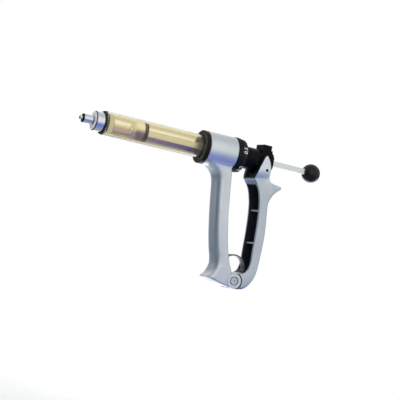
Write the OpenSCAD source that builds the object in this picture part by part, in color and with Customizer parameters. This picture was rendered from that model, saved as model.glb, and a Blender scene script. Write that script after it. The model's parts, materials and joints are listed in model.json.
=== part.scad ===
// Pistol-grip dosing syringe.
// Squeezing the rear lever slides a carriage forward. Its pawl pushes the toothed rod and the piston
// down the barrel by the dose that the dial allows.
// Millimetres. X runs from the luer tip back along the barrel's axis, Z is up, the grip hangs in -Z.

/* [Luer nozzle] */
// Radius of the luer cone at its tip
luer_tip_r = 2; // [1.9:0.05:2.2]
// How far the cone stands out of the lock collar
luer_proud = 3; // [2:0.5:5]
// Change of the cone's radius for each millimetre of length
luer_taper = 0.03; // [0.02:0.005:0.04]
// Radius of the fluid bore
luer_bore_r = 0.9; // [0.6:0.1:1.2]
// Outer radius of the lock collar
lock_r = 4.6; // [4.4:0.1:5.5]
// Wall of the lock collar round its threaded mouth
lock_wall = 0.7; // [0.5:0.1:1]
// Length of the lock collar
lock_len = 11; // [10:0.5:14]
// Depth of the lock collar's threaded mouth
lock_depth = 7.5; // [6:0.5:8]
// Bevel on the lock collar's edges
lock_bevel = 0.5; // [0.3:0.1:0.6]
// Radius of the screwed stem behind the collar
stem_r = 3.2; // [2.8:0.1:3.6]
// Length of the stem inside the nose cap
stem_len = 8; // [6:0.5:9]
// Length of the stem that shows in front of the nose cap
neck_len = 0.7; // [0.5:0.1:3]

/* [Nose cap] */
// Outer radius of the nose cap
cap_r = 10; // [9.6:0.1:11]
// Length of the nose cap in front of the barrel
cap_len = 10.9; // [9:0.1:13]
// Bevel on the nose cap's front edge
cap_bevel = 0.8; // [0.4:0.1:1.2]
// Length of the plug inside the barrel
plug_len = 8.4; // [6:0.2:10]
// Radius of the passage behind the stem
passage_r = 1.5; // [1.2:0.1:2]
// Radius of the funnel where the passage meets the barrel
funnel_r = 6; // [4:0.5:8]
// Depth of the funnel
funnel_len = 3; // [2:0.5:4]
// Radius of the plug seal's section
seal_r = 0.9; // [0.7:0.05:1.1]
// Distance from the barrel's mouth to the middle of the plug seal
seal_in = 1.5; // [1.4:0.1:3]
// Radius of the section of the ring at the barrel's mouth
mouth_ring_r = 0.9; // [0.7:0.05:1]

/* [Barrel] */
// Bore radius of the barrel
bore_r = 10; // [9.5:0.1:10.5]
// Wall of the barrel
barrel_wall = 2.2; // [1.6:0.1:2.4]
// Length of the barrel
barrel_len = 122.2; // [110:1:140]
// How far the rear flange stands out from the barrel
barrel_flange = 1.8; // [1.2:0.1:2]
// Thickness of the rear flange
barrel_flange_t = 3; // [2:0.2:4]
// Thickness of the gasket behind the barrel
gasket_t = 1.2; // [0.8:0.1:1.6]
// How far the gasket reaches inside the bore
gasket_lip = 1; // [0.5:0.1:1.5]

/* [Ring nut] */
// Wall of the nut's screwed part round the barrel's flange
nut_screw_wall = 1.9; // [1.5:0.1:2.5]
// Length of the nut's screwed part inside the collar
nut_screw_len = 5.5; // [4:0.5:7]
// Length of the ring nut in front of the collar
nut_len = 4.3; // [3:0.1:6]
// How far the nut stays inside the collar's outline
nut_inset = 0.2; // [0.1:0.1:0.6]
// Number of turned grooves on the nut's front face
nut_grooves = 3; // [1:1:4]
// Depth of each turned groove
nut_groove_d = 0.4; // [0.2:0.1:0.6]
// Half width of each turned groove
nut_groove_half_w = 0.3; // [0.2:0.05:0.5]

/* [Collar] */
// Wall of the collar round the ring nut
collar_wall = 1.6; // [1.3:0.1:2.4]
// Length of the collar
collar_len = 32.7; // [31:0.1:38]
// Bevel round the collar's front edge
collar_bevel = 0.8; // [0.4:0.1:1.2]
// Thickness of the wall between the barrel and the carriage
bulkhead_t = 3; // [2:0.2:4]
// Length of the counterbore that the dial's hub turns in
hub_seat = 6.2; // [5.5:0.1:7]
// Length of the dose mark on the collar
index_len = 4; // [2:0.5:6]
// Half width of the dose mark
index_half_w = 0.4; // [0.2:0.1:0.6]
// Depth of the dose mark
index_d = 0.5; // [0.3:0.1:0.8]

/* [Rod guide] */
// Wall of the guide round the rod
guide_wall = 3.8; // [3:0.1:4.4]
// Thickness of the guide's flange
guide_flange_t = 1.2; // [0.8:0.1:1.6]
// How far the flange stands out
guide_flange = 0.9; // [0.5:0.1:1.2]

/* [Front grip] */
// Half width of the grip
grip_half_w = 12; // [11:0.1:12.4]
// Radius of the grip's front corners
grip_front_r = 7; // [5:0.5:8]
// Radius of the grip's rear corners
grip_rear_r = 2.5; // [1.5:0.5:3.5]
// Radius of the fillet between the grip's sides and the collar
grip_fillet_r = 12; // [6:0.5:16]
// Wall in front of the channel in the grip's back
grip_wall = 4; // [3:0.5:6]
// Half width of the channel in the grip's back
grip_channel_half_w = 8; // [6:0.5:9]

/* [Lever pivot] */
// Distance of the pivot behind the collar
pivot_back = 24.5; // [23.5:0.1:25.5]
// Distance of the pivot below the barrel's axis
pivot_drop = 129; // [119:0.2:140]
// Radius of the foot's knuckle round the pivot
knuckle_r = 7.9; // [7.4:0.1:8.4]
// Half width over the foot's two ears
ear_half_w = 12.6; // [12.4:0.1:13.5]
// Thickness of each ear of the foot
foot_ear_t = 3.6; // [3.2:0.1:4]
// Gap between the knuckle and the lever's side walls
lever_clear = 0.6; // [0.4:0.1:1]
// Radius of the pivot bush
bush_r = 4; // [3.5:0.1:4.5]
// Radius of the pivot screw's shank
screw_r = 2.5; // [2:0.1:2.8]
// Radius of the pivot screw's head
screw_head_r = 3.9; // [3.5:0.1:4.2]
// Radius of the hexagon socket in the head
socket_r = 1.6; // [1.2:0.1:2]
// Depth of the recess for the screw head and for the nut
recess_d = 2.2; // [1.8:0.1:2.4]
// Gap round the screw head in its recess
recess_gap = 0.9; // [0.6:0.1:1.2]

/* [Rear lever] */
// Thickness of the lever's side walls
lever_wall = 2.3; // [1.8:0.1:2.6]
// Thickness of the web along the lever's back
web_t = 2.6; // [2:0.1:3.2]
// Thickness of the cross ribs in the channel
rib_t = 1.6; // [1.2:0.1:2]
// How far the ribs stay below the channel's edge
rib_sunk = 2; // [1:0.5:3]
// Length of the ribs, into the web
rib_len = 7.5; // [7:0.5:8]
// How far the ears round the link pin stand out from the lever's sides
ear_flare = 3; // [0:0.1:3]
// Height over which they do, above the ears' front corners
ear_flare_h = 10; // [8:0.5:12]
// Rounding along the lever's front edges
lever_edge = 0.8; // [0.4:0.1:1]
// Rounding along the lever's back
lever_back_r = 3; // [1.5:0.5:4]

/* [Link pin] */
// Distance of the link pin behind the button's front face
link_in = 5.1; // [4.9:0.1:6]
// Distance of the link pin below the barrel's axis
link_drop = 9.5; // [9:0.1:10]
// Radius of the link pin
link_r = 1.5; // [1.2:0.1:1.6]
// Radius of the hollow in the link pin
link_hollow_r = 0.8; // [0.5:0.1:0.9]

/* [Lever spring] */
// Outer radius of the spring's bow
bow_r = 14.1; // [13:0.1:14.5]
// Distance from the pivot back to the middle of the bow
bow_back = 0.6; // [0:0.1:1]
// Height of the middle of the bow above the pivot
bow_rise = 13.6; // [13:0.1:14]
// Height of the spring's front end above the pivot
spring_foot_rise = 8; // [7:0.1:9]
// Thickness of the spring strip
strip_t = 1.5; // [1:0.1:1.8]
// Width of the spring strip
strip_w = 8; // [6:0.5:9]

/* [Dose dial] */
// Wall of the dial's hub inside the collar
hub_wall = 1.6; // [1.5:0.05:1.9]
// Wall of the dial round its dose steps
dial_wall = 2.8; // [2.4:0.1:3.2]
// Floor of the dial in front of its deepest step
dial_floor = 1.1; // [1:0.1:1.6]
// How far the stop lug rests inside the dial
lug_in = 1.6; // [1.2:0.1:2]
// Length of the dial's ribbed band
grip_band = 5.4; // [4:0.2:6]
// Width of the groove behind the ribbed band
band_groove_w = 0.5; // [0.3:0.1:0.8]
// Fall of the numbered band's radius towards the back
dial_taper = 1; // [0:0.1:1.2]
// Number of ribs round the dial
dial_ribs = 36; // [24:1:48]
// Height of the ribs
rib_h = 0.7; // [0.4:0.1:1]
// Half width of the ribs at their foot
rib_half_w = 0.9; // [0.6:0.1:1]
// Number of dose settings
settings = 5; // [3:1:6]
// Angle kept free of ribs to each side of a number
number_room = 24; // [18:1:26]

/* [Dial detent] */
// Radius of the detent ball
detent_r = 1.2; // [1:0.1:1.3]
// How far the ball stands out of the collar
detent_proud = 0.35; // [0.2:0.05:0.4]
// Depth of the hole for the ball and its spring
detent_hole = 8; // [7:0.5:10]
// Radius of the pockets in the dial
detent_pocket_r = 0.8; // [0.6:0.1:1]
// Depth of the pockets in the dial
detent_pocket_d = 0.9; // [0.7:0.1:1]
// Depth of the track that the ball runs in
detent_track = 0.5; // [0.4:0.1:0.6]

/* [Retaining ring] */
// Distance of the ring from the collar's back
ring_back = 2.6; // [2.2:0.1:3]
// Thickness of the ring
ring_t = 1; // [0.8:0.1:1.2]
// How far the ring reaches into the collar
ring_out = 0.9; // [0.7:0.1:1.1]
// How far the ring reaches into the hub
ring_in = 0.65; // [0.5:0.05:0.8]
// Half width of the gap in the ring
ring_gap_half_w = 4; // [2:0.5:6]

/* [Carriage] */
// Radius of the carriage sleeve
sleeve_r = 11.7; // [11.4:0.05:11.8]
// Wall of the sleeve's hollow front
sleeve_wall = 3.1; // [2.6:0.1:3.2]
// Wall of the liner round the sleeve
liner_t = 1.65; // [1.4:0.05:1.8]
// Travel for one full stroke
stroke = 8; // [6:0.2:8.2]
// Distance of the carriage's flats in front of the button
flat_lead = 7; // [6:0.2:8]
// Length of the carriage behind the button
tail_len = 3.9; // [3:0.1:6]
// Bevel round the carriage's back
tail_bevel = 0.8; // [0.4:0.1:1.2]
// Height of the saddle round the button
saddle_top = 12; // [11.8:0.1:13]
// Wall of the saddle in front of and behind the button
saddle_wall = 0.8; // [0.6:0.1:2]
// Half length of the block round the link pin
block_half_len = 4.5; // [4:0.1:4.5]
// Depth of that block below the pin
block_below = 3.7; // [3:0.1:4.5]
// Thickness of the stop lug
lug_t = 3; // [2:0.2:4]
// Half width of the stop lug
lug_half_w = 3.2; // [2.5:0.1:4]
// Height of the stop lug over the dial's hub
lug_rise = 0.7; // [0.5:0.1:0.9]

/* [Release] */
// Distance of the button's front face behind the collar
button_back = 32; // [31:0.1:33]
// Length of the button
button_len = 10; // [9:0.2:11]
// Half width of the button
button_half_w = 8; // [7:0.1:8.2]
// Height of the button's top above the barrel's axis
button_top = 17.3; // [16.8:0.1:19]
// Rounding of the button's top edges
button_round = 1; // [0.5:0.1:1.5]
// Number of grooves across the button's top
button_grooves = 3; // [2:1:4]
// Radius of those grooves
button_groove_r = 0.8; // [0.5:0.1:1]
// Height of the floor under the button
pocket_floor = 8.4; // [8.2:0.1:9]
// Travel of the button
press = 1.6; // [1.2:0.1:1.7]
// Thickness of the pawl plate
pawl_t = 2; // [1.6:0.1:2.2]
// Half width of the pawl plate
pawl_half_w = 6.5; // [5.5:0.1:7]
// Depth of the pawl plate in the button
pawl_root = 2.8; // [2:0.1:3.5]
// Metal of the pawl plate below the rod
pawl_bar = 3.4; // [2.5:0.1:3.6]
// Angle of the pawl's edge
pawl_angle = 40; // [30:1:50]
// Radius of the coil under the button
coil_r = 1.7; // [1.4:0.1:1.8]
// Radius of the coil's wire
coil_wire_r = 0.3; // [0.2:0.05:0.35]
// Height of the coil's seat above the barrel's axis
coil_seat = 5.5; // [5:0.1:6]

/* [Rod and piston] */
// Height of the rod
rod_h = 6.1; // [5.6:0.1:6.3]
// Width of the rod
rod_w = 5.6; // [5:0.1:5.8]
// Length of the ratchet teeth, each worth half a millilitre
tooth_pitch = 1.6; // [1.2:0.1:2.4]
// Depth of the ratchet teeth
tooth_d = 1.1; // [0.8:0.1:1.3]
// Number of ratchet teeth
teeth = 74; // [60:1:76]
// Plain length of the rod behind its teeth
rod_plain = 9; // [6:0.5:14]
// Radius of the rod's round ends
rod_end_r = 2.4; // [2:0.1:2.5]
// Distance from the barrel's mouth to the piston's front face
piston_in = 31.9; // [28:0.1:50]
// Length of the piston's body
piston_len = 10; // [8:0.5:14]
// Gap between the piston's body and the barrel
piston_gap = 0.5; // [0.3:0.1:1]
// Bevel on the piston's front edge
piston_bevel = 1.5; // [0.5:0.1:2]
// Length of the piston's seal
piston_ring_len = 4; // [3:0.2:5]
// Depth of the groove between the seal's lips
lip_groove = 0.5; // [0.3:0.1:0.8]
// Thickness of the washer behind the seal
washer_t = 1; // [0.8:0.1:1.4]
// Radius of the washer
washer_r = 7; // [6:0.5:8]
// Radius of the piston screw's head over its corners
piston_screw_r = 4; // [3.5:0.1:5]
// Length of the piston screw's head
piston_screw_len = 3; // [2:0.2:4]
// Radius of the ball knob
ball_r = 10; // [9:0.5:12]
// Radius of the flat where the rod meets the ball knob
ball_flat_r = 4.5; // [4:0.1:5]
// Depth of the hole in the ball knob
ball_hole = 7.5; // [6:0.5:9]
// Distance from the carriage's back to the middle of the ball knob
ball_back = 52.1; // [44:0.1:60]

/* [Hidden] */
$fn = 64;

// Clearances: turning or sliding fits, seated pieces, sliding flats, and pieces that pass each other
run_fit = 0.05;
seat_fit = 0.03;
slide_gap = 0.15;
pass_gap = 0.3;
// Bevel on small edges, the reach of a cut past the face it opens, and of one that runs right through
edge = 0.4;
past = 1;
beyond = 60;

// Places along the axis
lock_front = luer_proud;
lock_back = lock_front + lock_len;
cap_front = lock_back + neck_len;
barrel_front = cap_front + cap_len;
barrel_back = barrel_front + barrel_len;
bulkhead_front = barrel_back + gasket_t;
bulkhead_back = bulkhead_front + bulkhead_t;
nut_back = barrel_back - barrel_flange_t;
collar_front = nut_back - nut_screw_len;
nut_front = collar_front - nut_len;
collar_back = collar_front + collar_len;

// Nested radii, from the barrel out and from the carriage out
barrel_r = bore_r + barrel_wall;
flange_r = barrel_r + barrel_flange;
nut_screw_r = flange_r + nut_screw_wall;
collar_r = nut_screw_r + collar_wall;
nut_r = collar_r - nut_inset;
guide_r = rod_h / 2 + guide_wall;
liner_r = sleeve_r + run_fit + liner_t;
dial_bore_r = sleeve_r + pass_gap;
hub_r = dial_bore_r + hub_wall;
lug_r = hub_r + lug_rise;
step_r = lug_r + pass_gap;
dial_r = step_r + dial_wall;
detent_at = (hub_r + collar_r) / 2;

// Carriage, dial and button
sleeve_front = bulkhead_back + stroke + pass_gap;
liner_back = collar_back - hub_seat;
dial_front = collar_back + pass_gap;
dial_back = dial_front + dial_floor + pass_gap + stroke + lug_in;
band_back = dial_front + grip_band;
lug_front = dial_back - lug_in;
dose_step = stroke / settings;
sector = 360 / settings;
ring_front = collar_back - ring_back;
button_front = collar_back + button_back;
button_end = button_front + button_len;
button_low = pocket_floor + press + slide_gap;
flat_front = button_front - flat_lead;
sleeve_back = button_end + tail_len;
pawl_front = button_front + 2 * pass_gap;
pawl_low = rod_h / 2 + pass_gap + pawl_bar;
coil_x = button_end - coil_r - 5 * pass_gap;

// Rod
piston_front = barrel_front + piston_in;
rod_front = piston_front + piston_len + piston_ring_len + washer_t;
ball_x = sleeve_back + ball_back;
rod_back = ball_x - sqrt(pow(ball_r, 2) - pow(ball_flat_r, 2));
tooth_back = rod_back - rod_plain;

// Lever and pivot
pivot_x = collar_back + pivot_back;
link_x = button_front + link_in;
link_arm = norm([link_x - pivot_x, pivot_drop - link_drop]);
link_rise = sqrt(pow(link_arm, 2) - pow(link_x - pivot_x - stroke, 2)) - (pivot_drop - link_drop);
ear_in = ear_half_w - lever_wall;
flat_half_w = ear_in - pass_gap;
ear_gap_half_w = ear_half_w - foot_ear_t;
tongue_half_w = ear_gap_half_w - pass_gap;
tongue_r = knuckle_r - pass_gap;
recess_r = screw_head_r + recess_gap;
fillet_y = grip_half_w + grip_fillet_r;
fillet_depth = sqrt(pow(collar_r + grip_fillet_r, 2) - pow(fillet_y, 2));
fillet_rise = fillet_depth * grip_fillet_r / (collar_r + grip_fillet_r);
bow_x = pivot_x + bow_back;
bow_z = -pivot_drop + bow_rise;

// Rows of the lever and the grip, from the foot up: [front edge, its depth, back edge, its depth].
// Edges are measured behind the collar and depths below the axis. Below the elbow, the rows stretch
// and lean with the pivot from the place that they are drawn for.
drawn_back = 24.5;
drawn_drop = 129;
elbow_drop = 26;
lever_rows = [
    [24.5, 121.4, 24.5, 136.6], [29.5, 120.6, 29.4, 136.8], [33, 119.5, 34.2, 136.4],
    [36.4, 117.3, 38.9, 134.4], [38.6, 113.6, 43.2, 130.2], [39.7, 109, 46.5, 125],
    [40, 104, 48.8, 118.2], [39.9, 99, 49.9, 110], [39.7, 92, 50.7, 96], [39.7, 78.8, 50.9, 76],
    [39, 60.8, 49.4, 58], [37.6, 47, 48.1, 46.5], [36, 39.4, 48.8, 40], [34.2, 33.4, 51.6, 34],
    [32.6, 29.8, 55.4, 29.6], [31.4, 27.8, 59.4, 26], [30.2, 26, 60.2, 24], [29, 24.4, 58.4, 22.7],
    [27.8, 22.8, 50.4, 21.6], [26.6, 21.4, 46.2, 20], [25.6, 20.2, 44.2, 17], [26.4, 15.4, 43.2, 12.4],
    [27.6, 10.4, 42.7, 7.4], [29.2, 5.6, 41.5, 3], [30.7, 1.2, 39.9, -0.8], [32, -2.6, 37.5, -4],
    [33.4, -4.9, 35.2, -5.3]
];
grip_rows = [
    [21.5, 136.4, 24.5, 136.4], [19.4, 136, 24.5, 136], [12, 134.8, 24.5, 134.8],
    [4.2, 133.1, 24.5, 133.1], [-3.4, 130.9, 24.5, 130.9], [-6.7, 129.6, 24.5, 129.6],
    [-4.4, 127, 24.2, 127], [-1.5, 123.2, 22.2, 123.2], [0.8, 117, 19.2, 117],
    [0.5, 111.6, 16.6, 111.6], [-0.7, 106, 14.6, 106], [-2.1, 102, 13.1, 102], [-5, 90, 10, 90],
    [-7.2, 78, 7.5, 78], [-9.7, 63, 4.9, 63], [-11.8, 48, 3, 48], [-13.3, 36, 1.6, 36],
    [-14.8, 28, 0.8, 28], [-17.8, 23, 0.3, 23], [-22.4, 19, -0.4, 19], [-27.5, 15.5, -1.2, 15.5],
    [-29.4, 12.6, -1.3, 12.6], [-31, 9, -1.4, 9]
];
// Depths of the ears' front corners, of the lever's shelf, of its channel's roof and floor, of its ribs,
// and of the grip's channel
ear_depth = 20.2;
shelf_depth = 19.5;
roof_depth = 25.5;
floor_depth = 119;
rib_depths = [52, 86];
grip_channel_depths = [36, 90];
// Edges of the channel's floor, and depths between which its wall follows the lever's back
floor_end = [42, floor_depth];
floor_corner = [45.5, 115.5];
web_depths = [46, 110];

// Finishes
silver = [0.77, 0.79, 0.82];
bright = [0.85, 0.87, 0.9];
amber = [0.86, 0.82, 0.66, 0.6];
black = [0.07, 0.07, 0.08];
rubber = [0.13, 0.11, 0.1];
steel = [0.68, 0.69, 0.7];
brass = [0.75, 0.62, 0.35];

// How far a depth lies from the elbow down to the pivot, as a fraction
function below_elbow(d) = max(0, d - elbow_drop) / (drawn_drop - elbow_drop);
function drop(d) = d + below_elbow(d) * (pivot_drop - drawn_drop);
function behind(p) = [collar_back + p.x + below_elbow(p.y) * (pivot_back - drawn_back), -drop(p.y)];

function curve_at(a, b, c, d, t) =
    0.5 * (2 * b + (c - a) * t + (2 * a - 5 * b + 4 * c - d) * t * t
    + (3 * b - a - 3 * c + d) * t * t * t);

// A smooth curve through the points, n steps between each two
function curve(p, n) = [
    for (i = [0:len(p) - 2], k = [0:n - 1])
        curve_at(p[max(i - 1, 0)], p[i], p[i + 1], p[min(i + 2, len(p) - 1)], k / n),
    p[len(p) - 1]
];

// Half width of the grip at a depth, which spreads in a fillet to meet the collar
function grip_spread(d) =
    fillet_y - sqrt(pow(grip_fillet_r, 2) - pow(min(max(fillet_depth - d, 0), fillet_rise), 2));

// Half width of the lever at a depth, which spreads at the ears
function ear_spread(d) =
    ear_half_w + ear_flare * sin(90 * min(max(ear_depth - d, 0) / ear_flare_h, 1));

function arc(c, r, from, to, n) = [
    for (i = [0:n]) let (a = from + (to - from) * i / n) c + r * [cos(a), sin(a)]
];

// A rounded cross-section between the front and back edges of a row, half_w to each side
function section(row, half_w, front_r, back_r) =
    let (
        front = behind([row[0], row[1]]),
        back = behind([row[2], row[3]]),
        depth = norm(back - front),
        along = (back - front) / depth,
        f = min(front_r, 0.45 * depth),
        r = min(back_r, 0.45 * depth)
    )
    [for (p = concat(
        arc([depth - r, half_w - r], r, 0, 90, 4),
        arc([f, half_w - f], f, 90, 180, 6),
        arc([f, f - half_w], f, 180, 270, 6),
        arc([depth - r, r - half_w], r, 270, 360, 4)
    )) [front.x + along.x * p.x, p.y, front.y + along.y * p.x]];

// Profile [radius, place] turned about the axis
module turned(points) {
    rotate([0, 90, 0]) rotate_extrude() polygon(points);
}

module ring(x1, x2, r1, r2) {
    turned([[r1, x1], [r2, x1], [r2, x2], [r1, x2]]);
}

// Ring of round section about the axis
module o_ring(x, mid_r, r) {
    translate([x, 0, 0])
        rotate([0, 90, 0])
            rotate_extrude() translate([mid_r, 0]) circle(r = r, $fn = 32);
}

module rod_x(x1, x2, r) {
    translate([x1, 0, 0]) rotate([0, 90, 0]) cylinder(r = r, h = x2 - x1);
}

module rod_y(x, z, y1, y2, r) {
    translate([x, y1, z]) rotate([-90, 0, 0]) cylinder(r = r, h = y2 - y1);
}

// A bar across the tool at the lever's pivot
module at_pivot(y1, y2, r) {
    rod_y(pivot_x, -pivot_drop, y1, y2, r);
}

module box(low, high) {
    translate(low) cube(high - low);
}

// A side-view outline in X and Z, half_w to each side of the middle
module side_plate(points, half_w) {
    translate([0, half_w, 0]) rotate([90, 0, 0]) linear_extrude(2 * half_w) polygon(points);
}

// A skin over rings of points, closed at both ends
module loft(rings) {
    n = len(rings[0]);
    last = len(rings) - 1;
    walls = [
        for (i = [0:last - 1], k = [0:n - 1])
            let (a = i * n + k, b = i * n + (k + 1) % n)
            each [[a, a + n, b], [b, a + n, b + n]]
    ];
    first_end = [for (k = [0:n - 1]) k];
    last_end = [for (k = [n - 1:-1:0]) last * n + k];
    polyhedron([for (r = rings) each r], concat(walls, [first_end, last_end]));
}

// A coil of round wire along Z from z = 0
module coil(r, wire_r, height, turns) {
    sides = 6;
    steps = 10;
    function wire_ring(i) =
        let (a = 360 * i / steps, z = wire_r + (height - 2 * wire_r) * i / (steps * turns))
        [for (k = [0:sides - 1])
            let (b = 360 * k / sides, q = r + wire_r * cos(b))
            [q * cos(a), q * sin(a), z + wire_r * sin(b)]];
    loft([for (i = [steps * turns:-1:0]) wire_ring(i)]);
}

module luer_nozzle() {
    cone_base = lock_front + lock_depth;
    color(bright) turned([
        [luer_bore_r, 0],
        [luer_tip_r - edge / 2, 0],
        [luer_tip_r, edge / 2],
        [luer_tip_r + luer_taper * cone_base, cone_base],
        [lock_r - lock_wall, cone_base],
        [lock_r - lock_wall, lock_front],
        [lock_r - lock_bevel / 2, lock_front],
        [lock_r, lock_front + lock_bevel],
        [lock_r, lock_back - 2 * lock_bevel],
        [lock_r - lock_bevel, lock_back],
        [stem_r, lock_back],
        [stem_r, cap_front + stem_len],
        [luer_bore_r, cap_front + stem_len]
    ]);
}

module nose_cap() {
    plug_r = bore_r - slide_gap;
    plug_back = barrel_front + plug_len;
    seal_x = barrel_front + seal_in;
    seal_half = seal_r + slide_gap;
    groove_r = bore_r - 2 * seal_r - slide_gap;
    stem_end = cap_front + stem_len + slide_gap;
    color(bright) turned([
        [stem_r + seat_fit, cap_front],
        [cap_r - cap_bevel, cap_front],
        [cap_r, cap_front + cap_bevel],
        [cap_r, barrel_front],
        [plug_r, barrel_front],
        [plug_r, seal_x - seal_half],
        [groove_r, seal_x - seal_half],
        [groove_r, seal_x + seal_half],
        [plug_r, seal_x + seal_half],
        [plug_r, plug_back - cap_bevel],
        [plug_r - cap_bevel, plug_back],
        [funnel_r, plug_back],
        [passage_r, plug_back - funnel_len],
        [passage_r, stem_end],
        [stem_r + seat_fit, stem_end]
    ]);
}

module nose_seal() {
    color(rubber) o_ring(barrel_front + seal_in, bore_r - seal_r - seat_fit, seal_r);
}

module mouth_ring() {
    off = mouth_ring_r + seat_fit;
    color(rubber) o_ring(barrel_front - off, cap_r + off, mouth_ring_r);
}

module barrel_tube() {
    color(amber) turned([
        [bore_r, barrel_front],
        [barrel_r - edge, barrel_front],
        [barrel_r, barrel_front + edge],
        [barrel_r, nut_back],
        [flange_r, nut_back],
        [flange_r, barrel_back],
        [bore_r, barrel_back]
    ]);
}

module barrel_ring_nut() {
    inner_r = barrel_r + slide_gap;
    pitch = (nut_r - inner_r) / (nut_grooves + 1);
    grooves = [
        for (i = [1:nut_grooves])
            let (r = inner_r + i * pitch)
            each [
                [r - nut_groove_half_w, nut_front],
                [r, nut_front + nut_groove_d],
                [r + nut_groove_half_w, nut_front]
            ]
    ];
    color(rubber) turned(concat(
        [[inner_r, nut_front]],
        grooves,
        [
            [nut_r - edge, nut_front],
            [nut_r, nut_front + edge],
            [nut_r, collar_front],
            [nut_screw_r, collar_front],
            [nut_screw_r, nut_back],
            [inner_r, nut_back]
        ]
    ));
}

module barrel_gasket() {
    color(rubber) ring(barrel_back, bulkhead_front, bore_r - gasket_lip, flange_r);
}

module grip_shape() {
    loft([
        for (row = curve(grip_rows, 3))
            section(row, grip_spread(row[1]), grip_front_r, grip_rear_r)
    ]);
}

// Channel in the back of the grip
module grip_channel() {
    top = grip_channel_depths[0];
    low = grip_channel_depths[1];
    rows = [for (row = grip_rows) if (row[1] >= top && row[1] <= low) row];
    front_edge = [for (row = rows) behind([row[0] + grip_wall, row[1]])];
    back_edge = [for (i = [len(rows) - 1:-1:0]) behind([rows[i][2] + past, rows[i][3]])];
    side_plate(concat(front_edge, back_edge), grip_channel_half_w);
}

// Recess that holds the front leg of the lever spring
module spring_recess() {
    half_w = strip_w / 2 + pass_gap;
    box(
        [bow_x - bow_r - pass_gap, -half_w, -pivot_drop + spring_foot_rise - pass_gap],
        [pivot_x, half_w, bow_z + bow_r - strip_t]
    );
}

module body_casting() {
    color(silver) difference() {
        union() {
            turned([
                [0, collar_front],
                [collar_r - collar_bevel, collar_front],
                [collar_r, collar_front + collar_bevel],
                [collar_r, collar_back - edge],
                [collar_r - edge, collar_back],
                [0, collar_back]
            ]);
            grip_shape();
            at_pivot(-ear_half_w, ear_half_w, knuckle_r);
        }
        rod_x(collar_front - past, nut_back, nut_screw_r + seat_fit);
        rod_x(collar_front - past, bulkhead_front, flange_r + seat_fit);
        rod_x(bulkhead_front - past, bulkhead_back + past, guide_r);
        rod_x(bulkhead_back, collar_back, liner_r);
        rod_x(liner_back, collar_back + past, hub_r + run_fit);
        ring(
            ring_front - slide_gap,
            ring_front + ring_t + slide_gap,
            hub_r - past,
            hub_r + ring_out + slide_gap
        );
        translate([0, 0, -detent_at])
            rod_x(collar_back - detent_hole, collar_back + past, detent_r + slide_gap);
        grip_channel();
        spring_recess();
        at_pivot(-ear_gap_half_w, ear_gap_half_w, knuckle_r + pass_gap);
        box(
            [pivot_x, -ear_gap_half_w, -pivot_drop - beyond],
            [pivot_x + beyond, ear_gap_half_w, -pivot_drop + beyond]
        );
        at_pivot(-beyond, beyond, screw_r + seat_fit);
        at_pivot(-beyond, recess_d - ear_half_w, recess_r);
        at_pivot(ear_half_w - recess_d, beyond, recess_r);
        box(
            [collar_back - index_len, -index_half_w, collar_r - index_d],
            [collar_back + past, index_half_w, collar_r + past]
        );
    }
}

// Square hole that the rod slides through
module rod_hole(x1, x2) {
    half_w = rod_w / 2 + slide_gap;
    half_h = rod_h / 2 + slide_gap;
    box([x1, -half_w, -half_h], [x2, half_w, half_h]);
}

module rod_guide() {
    guide_back = bulkhead_back + guide_flange_t;
    color(black) difference() {
        union() {
            rod_x(bulkhead_front, bulkhead_back, guide_r - seat_fit);
            rod_x(bulkhead_back, guide_back, guide_r + guide_flange);
        }
        rod_hole(bulkhead_front - past, guide_back + past);
    }
}

module carriage_liner() {
    color(brass) ring(bulkhead_back, liner_back, sleeve_r + run_fit, liner_r - seat_fit);
}

module dial_retaining_ring() {
    outer_r = hub_r + ring_out;
    color(steel) difference() {
        ring(ring_front, ring_front + ring_t, hub_r - ring_in, outer_r);
        box(
            [ring_front - past, -ring_gap_half_w, -outer_r - past],
            [ring_front + ring_t + past, ring_gap_half_w, 0]
        );
    }
}

// A raised rib on the dial at an angle from the top, falling by tilt towards the back
module dial_rib(x1, x2, angle, tilt) {
    rotate([angle, 0, 0])
        translate([x1, 0, dial_r])
            rotate([0, 90 + tilt, 0])
                linear_extrude((x2 - x1) / cos(tilt))
                    polygon([
                        [edge, -rib_half_w],
                        [-rib_h, -rib_half_w / 2],
                        [-rib_h, rib_half_w / 2],
                        [edge, rib_half_w]
                    ]);
}

module dose_dial() {
    tilt = atan(dial_taper / (dial_back - edge - band_back));
    rib_step = sector / 2 - number_room;
    color(black) difference() {
        union() {
            ring(liner_back + slide_gap, dial_front + edge, dial_bore_r, hub_r);
            turned([
                [dial_bore_r, dial_front],
                [dial_r - edge, dial_front],
                [dial_r, dial_front + edge],
                [dial_r, band_back],
                [dial_r - dial_taper, dial_back - edge],
                [dial_r - dial_taper - edge, dial_back],
                [dial_bore_r, dial_back]
            ]);
            for (i = [0:dial_ribs - 1])
                dial_rib(dial_front + edge, band_back, (i + 0.5) * 360 / dial_ribs, 0);
            for (i = [0:settings - 1], k = [-1:1])
                dial_rib(band_back, dial_back - 2 * edge, (i + 0.5) * sector + k * rib_step, tilt);
        }
        ring(band_back - band_groove_w / 2, band_back + band_groove_w / 2, dial_r - edge, dial_r + past);
        ring(
            ring_front - pass_gap,
            ring_front + ring_t + pass_gap,
            hub_r - ring_in - slide_gap,
            hub_r + past
        );
        ring(dial_front - past, dial_front + detent_track, detent_at - detent_r, detent_at + detent_r);
        for (i = [0:settings - 1])
            rotate([i * sector, 0, 0])
                translate([0, 0, -detent_at])
                    rod_x(dial_front, dial_front + detent_pocket_d, detent_pocket_r);
        for (i = [1:settings]) dose_pocket(i);
    }
}

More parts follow.
